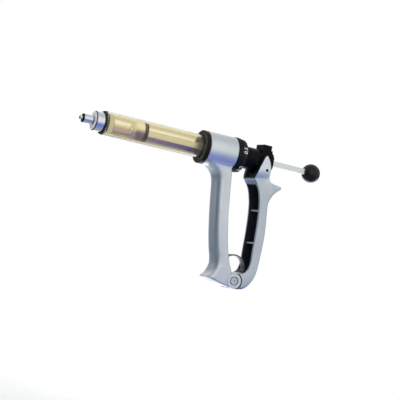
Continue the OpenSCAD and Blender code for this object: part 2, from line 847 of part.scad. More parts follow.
// Room behind the dose steps from setting i up. The shallowest runs all the way round.
module dose_pocket(i) {
    step_x = lug_front - i * dose_step - pass_gap;
    reach = step_r / cos(sector / 4) + past;
    fan = arc([0, 0], reach, (i - 0.5) * sector, (settings + 0.5) * sector, 2 * (settings - i + 1));
    intersection() {
        ring(step_x, dial_back + past, sleeve_r, step_r);
        if (i > 1)
            translate([step_x - past, 0, 0])
                rotate([90, 0, 90])
                    linear_extrude(dial_back - step_x + 3 * past) polygon(concat([[0, 0]], fan));
    }
}

module detent_ball() {
    color(steel)
        translate([collar_back + detent_proud - detent_r, 0, -detent_at]) sphere(r = detent_r, $fn = 48);
}

module detent_spring() {
    wire_r = detent_r / 6;
    length = detent_hole + detent_proud - 2 * detent_r - slide_gap;
    color(steel)
        translate([collar_back - detent_hole, 0, -detent_at])
            rotate([0, 90, 0]) coil(detent_r - 2 * wire_r, wire_r, length, 6);
}

module carriage() {
    saddle_half_w = flat_half_w - edge;
    pin_half_w = link_r + run_fit;
    pin_half_h = link_r + link_rise / 2 + slide_gap;
    pin_z = link_rise / 2 - link_drop;
    color(black) difference() {
        union() {
            rod_x(sleeve_front, flat_front, sleeve_r);
            intersection() {
                turned([
                    [0, flat_front],
                    [sleeve_r, flat_front],
                    [sleeve_r, sleeve_back - tail_bevel],
                    [sleeve_r - tail_bevel, sleeve_back],
                    [0, sleeve_back]
                ]);
                box(
                    [flat_front - past, -flat_half_w, -beyond],
                    [sleeve_back + past, flat_half_w, beyond]
                );
            }
            box(
                [button_front - saddle_wall, -saddle_half_w, 0],
                [button_end + saddle_wall, saddle_half_w, saddle_top]
            );
            box(
                [link_x - block_half_len, -flat_half_w, -link_drop - block_below],
                [link_x + block_half_len, flat_half_w, 0]
            );
            intersection() {
                rod_x(lug_front, lug_front + lug_t, lug_r);
                box(
                    [lug_front - past, 0, -lug_half_w],
                    [lug_front + lug_t + past, lug_r + past, lug_half_w]
                );
            }
        }
        rod_x(sleeve_front - past, flat_front - sleeve_wall, sleeve_r - sleeve_wall);
        rod_hole(sleeve_front, sleeve_back + past);
        box(
            [button_front - slide_gap, -button_half_w - slide_gap, pocket_floor],
            [button_end + slide_gap, button_half_w + slide_gap, beyond]
        );
        box(
            [pawl_front - slide_gap, -pawl_half_w - slide_gap, -pawl_low - press - pass_gap],
            [pawl_front + pawl_t + slide_gap, pawl_half_w + slide_gap, pocket_floor + past]
        );
        translate([coil_x, 0, coil_seat]) cylinder(r = coil_r + coil_wire_r + pass_gap, h = beyond);
        box(
            [link_x - pin_half_w, -beyond, pin_z - pin_half_h],
            [link_x + pin_half_w, beyond, pin_z + pin_half_h]
        );
    }
}

module release_button() {
    round_z = button_top - button_round;
    groove_z = button_top + button_groove_r / 2;
    pitch = button_len / (button_grooves + 1);
    color(black) difference() {
        side_plate(concat(
            [[button_front, button_low], [button_end, button_low]],
            arc([button_end - button_round, round_z], button_round, 0, 90, 6),
            arc([button_front + button_round, round_z], button_round, 90, 180, 6)
        ), button_half_w);
        box(
            [pawl_front - seat_fit, -pawl_half_w - seat_fit, button_low - past],
            [pawl_front + pawl_t + seat_fit, pawl_half_w + seat_fit, button_low + pawl_root + seat_fit]
        );
        for (i = [1:button_grooves])
            rod_y(button_front + i * pitch, groove_z, -beyond, beyond, button_groove_r);
    }
}

module pawl_plate() {
    window_half_w = rod_w / 2 + pass_gap;
    tooth_z = -rod_h / 2 - pass_gap;
    window_top = rod_h / 2 + press + pass_gap;
    color(steel) difference() {
        box(
            [pawl_front, -pawl_half_w, -pawl_low],
            [pawl_front + pawl_t, pawl_half_w, button_low + pawl_root]
        );
        box(
            [pawl_front - past, -window_half_w, tooth_z],
            [pawl_front + pawl_t + past, window_half_w, window_top]
        );
        translate([pawl_front + pawl_t / 3, 0, tooth_z])
            rotate([0, pawl_angle, 0]) box([-edge, -window_half_w, 0], [2 * pawl_t, window_half_w, pawl_t]);
    }
}

module pawl_spring() {
    color(steel)
        translate([coil_x, 0, coil_seat]) coil(coil_r, coil_wire_r, button_low - coil_seat - slide_gap, 4);
}

module piston_rod() {
    half_h = rod_h / 2;
    root = tooth_d - half_h;
    first_tooth = tooth_back - teeth * tooth_pitch;
    tooth_points = [
        for (i = [0:teeth - 1])
            let (x = first_tooth + i * tooth_pitch)
            each [[x, root], [x + tooth_pitch, -half_h]]
    ];
    color(bright) union() {
        side_plate(concat(
            [[rod_front, half_h], [rod_front, -half_h], [first_tooth, -half_h]],
            tooth_points,
            [[tooth_back, root], [tooth_back + tooth_d, -half_h], [rod_back, -half_h], [rod_back, half_h]]
        ), rod_w / 2);
        rod_x(piston_front, rod_front, rod_end_r);
        rod_x(rod_back, rod_back + ball_hole - edge, rod_end_r);
    }
}

module ball_knob() {
    steps = 32;
    from = asin(ball_flat_r / ball_r);
    hole_r = rod_end_r + seat_fit;
    round = [
        for (i = [0:steps])
            let (a = from + (180 - from) * i / steps)
            [i == steps ? 0 : ball_r * sin(a), ball_x - ball_r * cos(a)]
    ];
    color(black) turned(concat(
        [[0, rod_back + ball_hole], [hole_r, rod_back + ball_hole], [hole_r, rod_back]],
        round
    ));
}

module piston_body() {
    hole_r = rod_end_r + seat_fit;
    body_r = bore_r - piston_gap;
    color(rubber) turned([
        [hole_r, piston_front],
        [body_r - piston_bevel, piston_front],
        [body_r, piston_front + piston_bevel],
        [body_r, piston_front + piston_len],
        [hole_r, piston_front + piston_len]
    ]);
}

module piston_ring() {
    hole_r = rod_end_r + seat_fit;
    lip_r = bore_r - run_fit;
    lip_len = piston_ring_len / 3;
    front = piston_front + piston_len;
    back = front + piston_ring_len;
    color(rubber) turned([
        [hole_r, front],
        [lip_r, front],
        [lip_r, front + lip_len],
        [lip_r - lip_groove, (front + back) / 2],
        [lip_r, back - lip_len],
        [lip_r, back],
        [hole_r, back]
    ]);
}

module piston_washer() {
    color(steel) ring(rod_front - washer_t, rod_front, rod_end_r + seat_fit, washer_r);
}

module piston_screw() {
    color(steel)
        translate([piston_front - piston_screw_len, 0, 0])
            rotate([0, 90, 0]) cylinder(r = piston_screw_r, h = piston_screw_len, $fn = 6);
}

module lever_shape() {
    loft([
        for (row = curve(lever_rows, 3))
            section(row, ear_spread(row[1]), lever_edge, lever_back_r)
    ]);
}

// The hollow between the lever's walls, below the shelf
module lever_channel() {
    rows = [for (row = lever_rows) if (row[3] >= web_depths[0] && row[3] <= web_depths[1]) row];
    web = curve([for (row = rows) [row[2] - web_t, row[3]]], 3);
    roof_end = [web[len(web) - 1].x, roof_depth];
    side_plate([
        for (p = concat(
            [[0, floor_depth], floor_end, floor_corner],
            web,
            [roof_end, [0, roof_depth]]
        )) behind(p)
    ], ear_in);
}

module lever_rib(depth) {
    front = lookup(depth, [for (row = lever_rows) if (row[1] > roof_depth) [row[1], row[0]]]);
    start = behind([front + rib_sunk, depth]);
    box(
        [start.x, -ear_in - edge, start.y - rib_t / 2],
        [start.x + rib_len, ear_in + edge, start.y + rib_t / 2]
    );
}

module rear_lever() {
    clear_r = knuckle_r + lever_clear;
    color(silver) difference() {
        union() {
            difference() {
                lever_shape();
                lever_channel();
                box([collar_back, -ear_in, -shelf_depth], [collar_back + 2 * beyond, ear_in, beyond]);
                at_pivot(-beyond, -tongue_half_w, clear_r);
                at_pivot(tongue_half_w, beyond, clear_r);
            }
            for (depth = rib_depths) lever_rib(depth);
            at_pivot(-tongue_half_w, tongue_half_w, tongue_r);
        }
        at_pivot(-beyond, beyond, bush_r + run_fit);
        rod_y(link_x, -link_drop, -beyond, beyond, link_r + seat_fit);
    }
}

module link_pin() {
    half_len = ear_half_w - slide_gap;
    color(steel) difference() {
        rod_y(link_x, -link_drop, -half_len, half_len, link_r);
        rod_y(link_x, -link_drop, -beyond, beyond, link_hollow_r);
    }
}

module pivot_screw() {
    steps = 5;
    seat = recess_d - ear_half_w;
    head = recess_d - pass_gap;
    dome = head / 2;
    shank_end = seat - ear_half_w + edge;
    head_points = [
        for (i = [0:steps])
            [screw_head_r - edge * pow(i / steps, 2), head - dome + dome * sin(90 * i / steps)]
    ];
    color(steel) translate([pivot_x, seat, -pivot_drop]) rotate([90, 0, 0]) difference() {
        rotate_extrude() polygon(concat(
            [[0, shank_end], [screw_r, shank_end], [screw_r, 0], [screw_head_r, 0]],
            head_points,
            [[0, head]]
        ));
        translate([0, 0, dome]) cylinder(r = socket_r, h = recess_d, $fn = 6);
    }
}

module pivot_bush() {
    color(brass) difference() {
        at_pivot(-ear_gap_half_w, ear_gap_half_w, bush_r);
        at_pivot(-beyond, beyond, screw_r + seat_fit);
    }
}

module pivot_nut() {
    color(steel) difference() {
        translate([pivot_x, ear_half_w - recess_d, -pivot_drop])
            rotate([-90, 0, 0]) cylinder(r = screw_head_r + pass_gap, h = recess_d - pass_gap, $fn = 6);
        at_pivot(-beyond, beyond, screw_r + seat_fit);
    }
}

module lever_spring() {
    middle = [bow_x, bow_z];
    in_r = bow_r - strip_t;
    floor_rise = (bow_x + bow_r - pivot_x) * stroke / link_arm;
    front_end = -pivot_drop + spring_foot_rise;
    back_end = min(-drop(floor_depth) + floor_rise + pass_gap, bow_z - past);
    color(steel) side_plate(concat(
        [[bow_x + in_r, back_end], [bow_x + bow_r, back_end]],
        arc(middle, bow_r, 0, 180, 36),
        [[bow_x - bow_r, front_end], [bow_x - in_r, front_end]],
        arc(middle, in_r, 180, 0, 36)
    ), strip_w / 2);
}

luer_nozzle();
nose_cap();
nose_seal();
mouth_ring();
barrel_tube();
barrel_ring_nut();
barrel_gasket();
body_casting();
rod_guide();
carriage_liner();
dial_retaining_ring();
dose_dial();
detent_ball();
detent_spring();
carriage();
release_button();
pawl_plate();
pawl_spring();
piston_rod();
ball_knob();
piston_body();
piston_ring();
piston_washer();
piston_screw();
rear_lever();
link_pin();
pivot_screw();
pivot_bush();
pivot_nut();
lever_spring();
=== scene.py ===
import bpy
import json
import math
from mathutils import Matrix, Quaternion, Vector

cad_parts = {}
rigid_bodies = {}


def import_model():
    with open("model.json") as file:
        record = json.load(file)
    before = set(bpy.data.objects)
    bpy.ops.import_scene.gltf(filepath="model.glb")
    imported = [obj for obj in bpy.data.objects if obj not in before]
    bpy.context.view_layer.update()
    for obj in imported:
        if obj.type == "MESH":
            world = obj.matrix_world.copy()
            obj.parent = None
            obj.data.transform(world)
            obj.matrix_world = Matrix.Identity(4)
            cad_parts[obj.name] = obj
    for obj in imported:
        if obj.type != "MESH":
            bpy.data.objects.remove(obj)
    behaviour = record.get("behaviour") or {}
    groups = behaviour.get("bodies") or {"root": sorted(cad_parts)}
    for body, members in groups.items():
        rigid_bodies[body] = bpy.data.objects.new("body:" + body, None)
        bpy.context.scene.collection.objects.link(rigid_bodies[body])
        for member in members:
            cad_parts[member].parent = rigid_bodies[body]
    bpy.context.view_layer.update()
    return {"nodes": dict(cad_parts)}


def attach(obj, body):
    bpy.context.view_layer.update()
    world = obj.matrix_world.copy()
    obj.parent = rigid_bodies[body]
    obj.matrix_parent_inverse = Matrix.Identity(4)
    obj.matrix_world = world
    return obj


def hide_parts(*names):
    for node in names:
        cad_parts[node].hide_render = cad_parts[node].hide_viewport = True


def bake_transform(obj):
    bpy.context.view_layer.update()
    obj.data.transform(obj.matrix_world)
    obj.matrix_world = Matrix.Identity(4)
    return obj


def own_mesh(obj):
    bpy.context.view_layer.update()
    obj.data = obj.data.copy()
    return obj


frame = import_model()
nodes = frame["nodes"]
mm = 0.001
weldGap = 0.000002  # points nearer than this become one
print("frame: %d nodes" % len(nodes))


# where the photograph was taken from, and its lens
viewpoint = {"at": (-482.93, -1290.76, -154.31), "turn": -26, "lift": -4, "roll": 10.79,
             "lens": 126, "sensor": 36, "near": 0.05}

turn = math.radians(viewpoint["turn"])
lift = math.radians(viewpoint["lift"])
ahead = Vector((-math.sin(turn) * math.cos(lift), math.cos(turn) * math.cos(lift), -math.sin(lift)))
bpy.ops.object.camera_add(location=Vector(viewpoint["at"]) * mm)
camera = bpy.context.object
camera.rotation_mode = "QUATERNION"
camera.rotation_quaternion = ahead.to_track_quat("-Z", "Y") @ Quaternion(
    (0, 0, 1), math.radians(viewpoint["roll"]))
camera.data.lens = viewpoint["lens"]
camera.data.sensor_width = viewpoint["sensor"]
camera.data.clip_start = viewpoint["near"]
bpy.context.scene.camera = camera
bpy.context.scene.view_settings.view_transform = "Standard"
print("camera: placed")


class Feed:
    # a socket that takes part in sums
    def __init__(self, finish, socket):
        self.finish = finish
        self.socket = socket

    def maths(self, operation, first, second):
        return self.finish.node("ShaderNodeMath", {"operation": operation}, {0: first, 1: second})

    def __add__(self, other):
        return self.maths("ADD", self, other)

    def __radd__(self, other):
        return self.maths("ADD", other, self)

    def __sub__(self, other):
        return self.maths("SUBTRACT", self, other)

    def __rsub__(self, other):
        return self.maths("SUBTRACT", other, self)

    def __mul__(self, other):
        return self.maths("MULTIPLY", self, other)

    def __rmul__(self, other):
        return self.maths("MULTIPLY", other, self)


class Finish:
    # one material, with its surface shader
    def __init__(self, name, **plain):
        self.material = bpy.data.materials.new(name)
        self.material.use_nodes = True
        self.tree = self.material.node_tree
        self.surface = self.tree.nodes["Principled BSDF"]
        for socket, value in plain.items():
            self.surface.inputs[socket.replace("_", " ")].default_value = value

    def node(self, kind, settings=None, values=None, output=0):
        made = self.tree.nodes.new(kind)
        for key, value in (settings or {}).items():
            if key == "stops":
                ramp = made.color_ramp.elements
                while len(ramp) < len(value):
                    ramp.new(1)
                for stop, (place, colour) in zip(ramp, value):
                    stop.position = place
                    stop.color = colour
            else:
                setattr(made, key, value)
        for key, value in (values or {}).items():
            self.join(made.inputs[key], value)
        return Feed(self, made.outputs[output])

    def join(self, socket, value):
        if isinstance(value, Feed):
            self.tree.links.new(value.socket, socket)
        else:
            socket.default_value = value

    def feed(self, socket, value):
        self.join(self.surface.inputs[socket], value)

    def place(self):
        return self.node("ShaderNodeTexCoord", output="Object")

    def axes(self):
        split = self.node("ShaderNodeSeparateXYZ", {}, {0: self.place()})
        return [Feed(self, s) for s in split.socket.node.outputs]

    def length(self, first, second):
        return self.node("ShaderNodeMath", {"operation": "SQRT"}, {0: first * first + second * second})

    def away(self, x, z):
        # distance from a line across the part
        along, sideways, up = self.axes()
        return self.length(along - x * mm, up - z * mm)

    def noise(self, scale, detail, stretch=(1, 1, 1)):
        spot = self.node("ShaderNodeMapping", {}, {"Vector": self.place(), "Scale": stretch})
        return self.node("ShaderNodeTexNoise", {}, {"Vector": spot, "Scale": scale, "Detail": detail})

    def mix(self, share, first, second):
        return self.node(
            "ShaderNodeMix", {"data_type": "RGBA"}, {0: share, 6: first, 7: second}, output=2)

    def span(self, value, low, high, fromLow=0.35, fromHigh=0.65):
        # a value's range laid on another; noise keeps mostly to the range given here
        return self.node("ShaderNodeMapRange", {}, {
            "Value": value, "From Min": fromLow, "From Max": fromHigh, "To Min": low, "To Max": high})

    def between(self, value, low, high, blur):
        rising = self.span(value, 0, 1, low - blur, low)
        return rising * self.span(value, 1, 0, high, high + blur)

    def bump(self, height, strength, depth):
        self.feed("Normal", self.node(
            "ShaderNodeBump", {}, {"Height": height, "Strength": strength, "Distance": depth}))


def rgb(red, green, blue):
    return (red, green, blue, 1)


black = rgb(0, 0, 0)


# satin silver paint of the castings: fine flakes, a little orange peel, paler towards the top
silverCoat = {"cloud": 45, "flake": 5200, "peel": 420, "cloudShare": 0.6, "flakeShare": 0.4, "dull": 0.12,
              "rough": (0.34, 0.46), "strength": 0.12, "depth": 0.0002}
# painted shade in the gap round the lever's pivot
pivotGapShade = {"at": (196.5, -129), "dark": 8.9, "unshaded": 9.5, "tone": rgb(0.02, 0.022, 0.03)}
silverTones = {
    "silverGrip": {"lowerTone": rgb(0.61, 0.645, 0.67), "upperTone": rgb(0.65, 0.69, 0.71), "rise": (-0.1, -0.02)},
    "silverLever": {"lowerTone": rgb(0.52, 0.56, 0.59), "upperTone": rgb(0.7, 0.74, 0.77), "rise": (-0.024, -0.008),
                    "gapShade": pivotGapShade},
    # painted shade: dark on the fronts of the lever's ears, with a painted blue reflection on the shelf below
    # them
    "silverShade": {"lowerTone": rgb(0.26, 0.3, 0.44), "upperTone": rgb(0.06, 0.07, 0.11), "rise": (-0.021, -0.019)},
}


def silverPaint(name):
    tones = silverTones[name]
    coat = Finish(name, Metallic=0.9)
    cloud = coat.noise(silverCoat["cloud"], 2)
    flake = coat.noise(silverCoat["flake"], 1)
    # a lower and an upper tone, blended by height
    tone = coat.mix(coat.span(coat.axes()[2], 0, 1, *tones["rise"]), tones["lowerTone"], tones["upperTone"])
    if "gapShade" in tones:  # painted shade in the gap round the pivot
        gapShade = tones["gapShade"]
        inGapShade = coat.span(coat.away(*gapShade["at"]), 1, 0, gapShade["dark"] * mm, gapShade["unshaded"] * mm)
        tone = coat.mix(inGapShade, tone, gapShade["tone"])
    dull = coat.mix(silverCoat["dull"], tone, black)
    sparkle = coat.span(cloud * silverCoat["cloudShare"] + flake * silverCoat["flakeShare"], 0, 1)
    coat.feed("Base Color", coat.mix(sparkle, dull, tone))
    coat.feed("Roughness", coat.span(flake, *silverCoat["rough"]))
    coat.bump(coat.noise(silverCoat["peel"], 2), silverCoat["strength"], silverCoat["depth"])
    return coat


silver = silverPaint("silverGrip")
silverLever = silverPaint("silverLever")
silverShade = silverPaint("silverShade")

# painted shade inside the lever's channel, with noise in its darkness, and bare metal near the pivot
channelPaint = {"scale": 160, "deep": rgb(0.005, 0.006, 0.013), "paleShade": rgb(0.012, 0.013, 0.028),
                "bare": rgb(0.42, 0.45, 0.48), "bareTo": (0.018, 0.0225), "rough": (0.5, 0.65)}
channelDark = Finish("channelDark")
shadeNoise = channelDark.noise(channelPaint["scale"], 3)
bare = channelDark.span(channelDark.away(*pivotGapShade["at"]), 1, 0, *channelPaint["bareTo"])
shadeTone = channelDark.mix(shadeNoise, channelPaint["deep"], channelPaint["paleShade"])
channelDark.feed("Base Color", channelDark.mix(bare, shadeTone, channelPaint["bare"]))
channelDark.feed("Roughness", channelDark.span(shadeNoise, *channelPaint["rough"]))

# polished chrome of the nose, turned on a lathe: painted dark reflections and shade at its bevels, and a
# painted pale reflection on the cap's front face, which is not metallic
chromePlate = {"tone": rgb(0.76, 0.77, 0.79), "worn": rgb(0.66, 0.67, 0.69), "wear": 90,
               "lines": (9000, 40, 40), "rough": (0.07, 0.14), "strength": 0.04, "depth": 0.00005,
               "rims": ((2.9, 3.9), (12.9, 14.1), (14.78, 15.6)), "rimTone": rgb(0.02, 0.02, 0.035),
               "face": (14.6, 14.72), "facePale": rgb(0.9, 0.9, 0.96), "blur": 0.04}
chrome = Finish("chromePlate")
noseX = chrome.axes()[0]
lines = chrome.noise(1, 2, chromePlate["lines"])
plated = chrome.mix(chrome.noise(chromePlate["wear"], 2), chromePlate["worn"], chromePlate["tone"])
# painted dark reflections and shade on the bevels
for low, high in chromePlate["rims"]:
    rim = chrome.between(noseX, low * mm, high * mm, chromePlate["blur"] * mm)
    plated = chrome.mix(rim, plated, chromePlate["rimTone"])
# painted pale reflection on the cap's front face
low, high = chromePlate["face"]
paleFace = chrome.between(noseX, low * mm, high * mm, chromePlate["blur"] * mm)
chrome.feed("Base Color", chrome.mix(paleFace, plated, chromePlate["facePale"]))
chrome.feed("Metallic", 1 - paleFace)
chrome.feed("Roughness", chrome.span(lines, *chromePlate["rough"]))
chrome.bump(lines, chromePlate["strength"], chromePlate["depth"])

# dark brown moulding of the ring nut, with paler rings on its face painted as highlights of its turned
# grooves
nutTurned = {"scale": 300, "deep": rgb(0.006, 0.005, 0.003), "pale": rgb(0.014, 0.011, 0.008),
             "rings": (13.3, 14.8, 16.3), "half": 0.5, "ringHighlight": rgb(0.2, 0.175, 0.15),
             "rough": (0.24, 0.36), "strength": 0.1, "depth": 0.0001}
nutBrown = Finish("nutBrown", Specular_IOR_Level=0.1)
grain = nutBrown.noise(nutTurned["scale"], 3)
nutX, nutY, nutZ = nutBrown.axes()
nutOut = nutBrown.length(nutY, nutZ)
nutTone = nutBrown.mix(grain, nutTurned["deep"], nutTurned["pale"])
# painted highlights: paler rings on the face
for ring in nutTurned["rings"]:
    onRing = nutBrown.between(nutOut, ring * mm, ring * mm, nutTurned["half"] * mm)
    nutTone = nutBrown.mix(onRing, nutTone, nutTurned["ringHighlight"])
nutBrown.feed("Base Color", nutTone)
nutBrown.feed("Roughness", nutBrown.span(grain, *nutTurned["rough"]))
nutBrown.bump(grain, nutTurned["strength"], nutTurned["depth"])

# black moulded plastic of the carriage and its button
carriageMould = {"cloud": 70, "deep": rgb(0.001, 0.001, 0.002), "pale": rgb(0.003, 0.003, 0.005),
                 "pores": 900, "rough": (0.26, 0.4), "strength": 0.15, "depth": 0.0001}
blackPlastic = Finish("blackPlastic", Specular_IOR_Level=0.09)
pores = blackPlastic.noise(carriageMould["pores"], 3)
blackPlastic.feed("Base Color", blackPlastic.mix(
    blackPlastic.noise(carriageMould["cloud"], 2), carriageMould["deep"], carriageMould["pale"]))
blackPlastic.feed("Roughness", blackPlastic.span(pores, *carriageMould["rough"]))
blackPlastic.bump(pores, carriageMould["strength"], carriageMould["depth"])

# the dial's harder black, glossy on its ribs
dialMould = {"wear": 240, "deep": rgb(0.004, 0.004, 0.0055), "pale": rgb(0.01, 0.01, 0.012),
             "rough": (0.18, 0.3), "pores": 900, "strength": 0.1, "depth": 0.0001}
dialBlack = Finish("dialBlack", Specular_IOR_Level=0.2)
handled = dialBlack.noise(dialMould["wear"], 3)
dialBlack.feed("Base Color", dialBlack.mix(handled, dialMould["deep"], dialMould["pale"]))
dialBlack.feed("Roughness", dialBlack.span(handled, *dialMould["rough"]))
dialBlack.bump(dialBlack.noise(dialMould["pores"], 3), dialMould["strength"], dialMould["depth"])

# milky nylon piston: painted light, glowing by emission, on its upper half and its front face, and painted
# violet shade on its lower half
pistonNylon = {"lit": rgb(0.96, 0.94, 0.88), "shade": rgb(0.26, 0.19, 0.42), "shadeTo": (-0.0025, 0.001),
               "flow": 200, "streak": rgb(0.5, 0.42, 0.3), "streaks": 0.08, "rough": (0.4, 0.55),
               "glow": rgb(0.46, 0.46, 0.4), "glowFrom": (-0.001, 0.0035), "glowTo": (0.006, 0.0095),
               "glowLeft": 0.4, "front": rgb(0.34, 0.29, 0.2), "frontLow": rgb(0.2, 0.14, 0.24),
               "frontTo": (0.0577, 0.0592)}
nylon = Finish("pistonNylon", Specular_IOR_Level=0.3, Emission_Strength=1)
flow = nylon.noise(pistonNylon["flow"], 3)
nylonX, nylonY, nylonUp = nylon.axes()
# painted shade on the lower half, a painted lit tone on the upper half
upper = nylon.span(nylonUp, 0, 1, *pistonNylon["shadeTo"])
nylonTone = nylon.mix(upper, pistonNylon["shade"], pistonNylon["lit"])
streaky = nylon.span(flow, 0, pistonNylon["streaks"])
nylon.feed("Base Color", nylon.mix(streaky, nylonTone, pistonNylon["streak"]))
nylon.feed("Roughness", nylon.span(flow, *pistonNylon["rough"]))
# painted light: a glowing band on the upper half, and a glow on the front face
glowBand = nylon.span(nylonUp, 0, 1, *pistonNylon["glowFrom"])
glowBand = glowBand * nylon.span(nylonUp, 1, pistonNylon["glowLeft"], *pistonNylon["glowTo"])
sideGlow = nylon.mix(glowBand, black, pistonNylon["glow"])
frontGlow = nylon.mix(upper, pistonNylon["frontLow"], pistonNylon["front"])
facing = nylon.span(nylonX, 1, 0, *pistonNylon["frontTo"])
nylon.feed("Emission Color", nylon.mix(facing, sideGlow, frontGlow))

# bright drawn rod, paler at its front and darker towards the back
drawnRod = {"lines": (60, 2500, 2500), "frontTone": (rgb(0.9, 0.9, 0.88), rgb(0.95, 0.95, 0.93)),
            "rearTone": (rgb(0.6, 0.62, 0.61), rgb(0.7, 0.72, 0.71)), "rearFrom": (0.13, 0.2),
            "rough": (0.28, 0.4)}
rodMetal = Finish("rodMetal", Metallic=1)
drawn = rodMetal.noise(1, 3, drawnRod["lines"])
frontTone = rodMetal.mix(drawn, *drawnRod["frontTone"])
rearTone = rodMetal.mix(drawn, *drawnRod["rearTone"])
rodMetal.feed("Base Color", rodMetal.mix(
    rodMetal.span(rodMetal.axes()[0], 0, 1, *drawnRod["rearFrom"]), frontTone, rearTone))
rodMetal.feed("Roughness", rodMetal.span(drawn, *drawnRod["rough"]))


def grained(name, look, **plain):
    # one noise drives the colour, the roughness and, where it is given, the bump
    made = Finish(name, **plain)
    speckle = made.noise(look["scale"], look["detail"], look.get("stretch", (1, 1, 1)))
    made.feed("Base Color", made.mix(speckle, look["low"], look["high"]))
    made.feed("Roughness", made.span(speckle, *look["rough"]))
    if "bump" in look:
        made.bump(speckle, *look["bump"])
    return made


# amber barrel, cloudy clear plastic
amberPlastic = {"scale": 60, "detail": 3, "stretch": (0.4, 1, 1), "rough": (0.07, 0.14),
                "low": rgb(0.9, 0.85, 0.63), "high": rgb(0.86, 0.8, 0.57)}
amber = grained("amberPlastic", amberPlastic, IOR=1.5, Transmission_Weight=0.98, Specular_IOR_Level=0.32)

# glossy black knob
knobGloss = {"scale": 120, "detail": 2, "rough": (0.16, 0.24),
             "low": rgb(0.004, 0.004, 0.005), "high": rgb(0.008, 0.008, 0.009)}
knobBlack = grained("knobBlack", knobGloss, Specular_IOR_Level=0.25)

# brown rubber of the piston's ring, wet
wetSeal = {"scale": 400, "detail": 3, "rough": (0.3, 0.45),
           "low": rgb(0.04, 0.01, 0.002), "high": rgb(0.08, 0.022, 0.005)}
sealBrown = grained("sealBrown", wetSeal, Specular_IOR_Level=0.05)

# black rubber of the other rings and seals
dustyRubber = {"scale": 500, "detail": 4, "rough": (0.5, 0.7), "bump": (0.2, 0.0001),
               "low": rgb(0.008, 0.007, 0.007), "high": rgb(0.02, 0.017, 0.016)}
rubber = grained("rubber", dustyRubber)

# brushed steel of the screws and inner pieces, the spring's darker strip and the near-black pin
brushed = {"scale": 1, "detail": 3, "stretch": (300, 6000, 300), "rough": (0.22, 0.36),
           "bump": (0.06, 0.00005)}
steel = grained("brushedSteel", dict(
    brushed, low=rgb(0.44, 0.45, 0.46), high=rgb(0.54, 0.55, 0.56)), Metallic=1)
springSteel = grained("springSteel", dict(
    brushed, low=rgb(0.1, 0.105, 0.11), high=rgb(0.2, 0.205, 0.21)), Metallic=1)
pinSteel = grained("blackenedPin", dict(
    brushed, low=rgb(0.012, 0.012, 0.015), high=rgb(0.03, 0.03, 0.035)), Metallic=1)

# brass of the liner and the bush
tarnished = {"scale": 150, "detail": 3, "rough": (0.25, 0.4),
             "low": rgb(0.55, 0.4, 0.17), "high": rgb(0.72, 0.56, 0.28)}
brass = grained("brass", tarnished, Metallic=1)

# white paint of the numbers
chalky = {"scale": 800, "detail": 2, "rough": (0.45, 0.6),
          "low": rgb(0.74, 0.74, 0.74), "high": rgb(0.86, 0.86, 0.86)}
numberWhite = grained("numberWhite", chalky)

nodeFinish = {
    "luer_nozzle": chrome, "nose_cap": chrome, "nose_seal": rubber, "mouth_ring": rubber,
    "barrel_tube": amber, "barrel_ring_nut": nutBrown, "barrel_gasket": rubber, "body_casting": silver,
    "rod_guide": blackPlastic, "carriage_liner": brass, "dial_retaining_ring": steel,
    "dose_dial": dialBlack, "detent_ball": steel, "detent_spring": steel, "carriage": blackPlastic,
    "release_button": blackPlastic, "pawl_plate": steel, "pawl_spring": steel, "piston_rod": rodMetal,
    "ball_knob": knobBlack, "piston_body": nylon, "piston_ring": sealBrown, "piston_washer": steel,
    "piston_screw": rodMetal, "rear_lever": silverLever, "link_pin": pinSteel, "pivot_screw": steel,
    "pivot_bush": brass, "pivot_nut": steel, "lever_spring": springSteel,
}


def paint(piece, *finishes):
    piece.data.materials.clear()
    for finish in finishes:
        piece.data.materials.append(finish.material)


for name, finish in nodeFinish.items():
    paint(nodes[name], finish)
print("finishes: %d on %d nodes" % (len(set(nodeFinish.values())), len(nodeFinish)))


def pick(piece):
    if bpy.context.mode != "OBJECT":
        bpy.ops.object.mode_set(mode="OBJECT")
    bpy.ops.object.select_all(action="DESELECT")
    piece.select_set(True)
    bpy.context.view_layer.objects.active = piece


def applyPlace(piece):
    pick(piece)
    bpy.ops.object.transform_apply(location=True, rotation=True, scale=True)


def settle(piece, name, body, slotName, *finishes):
    applyPlace(piece)
    piece.name = name
    piece.data.name = name
    paint(piece, *finishes)
    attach(piece, body)
    return piece


def smoothCopy(nodeName, name, angle):
    # a merged copy of a CAD node, shaded smooth up to an angle
    piece = bpy.data.objects.new(name, nodes[nodeName].data.copy())
    bpy.context.scene.collection.objects.link(piece)
    pick(piece)
    bpy.ops.object.mode_set(mode="EDIT")
    bpy.ops.mesh.select_all(action="SELECT")
    bpy.ops.mesh.remove_doubles(threshold=weldGap)
    bpy.ops.mesh.customdata_custom_splitnormals_clear()
    bpy.ops.object.mode_set(mode="OBJECT")
    bpy.ops.object.shade_smooth_by_angle(angle=math.radians(angle))
    return piece


def weldOutward():
    # in edit mode: merge doubles, turn faces out, and leave edit mode
    bpy.ops.mesh.select_all(action="SELECT")
    bpy.ops.mesh.remove_doubles(threshold=weldGap)
    bpy.ops.mesh.normals_make_consistent(inside=False)
    bpy.ops.object.mode_set(mode="OBJECT")


